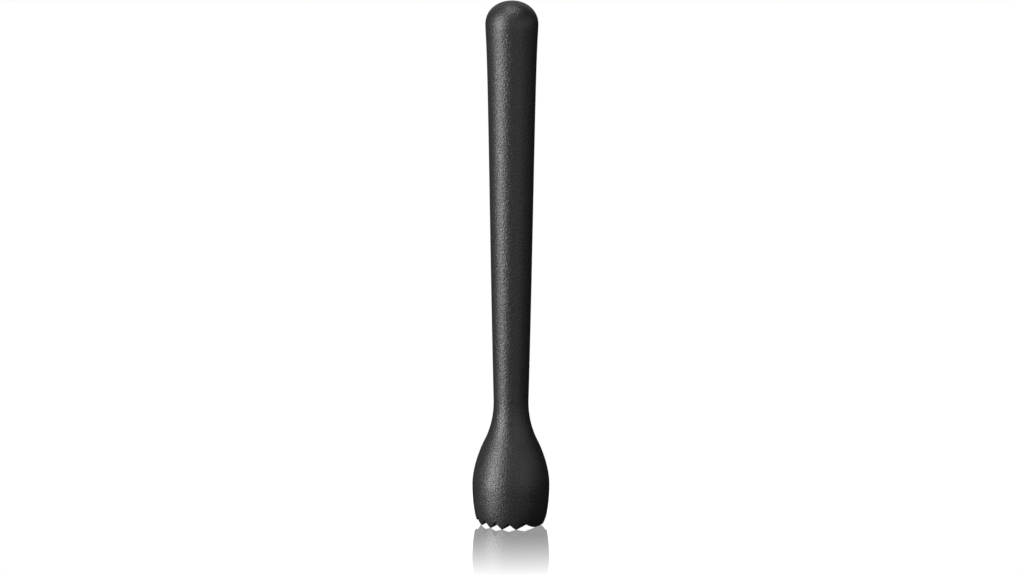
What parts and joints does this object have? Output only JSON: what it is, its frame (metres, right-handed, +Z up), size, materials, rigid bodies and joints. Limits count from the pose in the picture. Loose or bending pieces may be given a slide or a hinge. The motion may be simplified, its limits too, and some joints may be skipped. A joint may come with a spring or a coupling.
{
  "type": "muddler",
  "caption": "Upright bar muddler with a domed palm end, a tapered handle and an onion-shaped head whose ridged foot crushes fruit, herbs and ice.",
  "frame": {"origin": "on the tool's axis, level with the tips of the foot's ridges, where it stands on a flat surface", "axes": "+Z up along the tool's axis towards the domed end; Y runs along the foot's ridges and X across them"},
  "size_m": [0.0322, 0.0322, 0.22],
  "materials": {
    "black_plastic": "fine spark-eroded mould grain, satin",
    "steel": "drawn bar, plain",
    "brass": "machined and knurled",
    "seal_rubber": "smooth moulded"
  },
  "bodies": {
    "root": {"toothed_head": "black_plastic", "handle_grip": "black_plastic", "dome_cap": "black_plastic", "tie_rod": "steel", "head_insert": "brass", "rod_washer": "steel", "rod_nut": "steel", "head_seal": "seal_rubber", "cap_seal": "seal_rubber"}
  },
  "joints": []
}
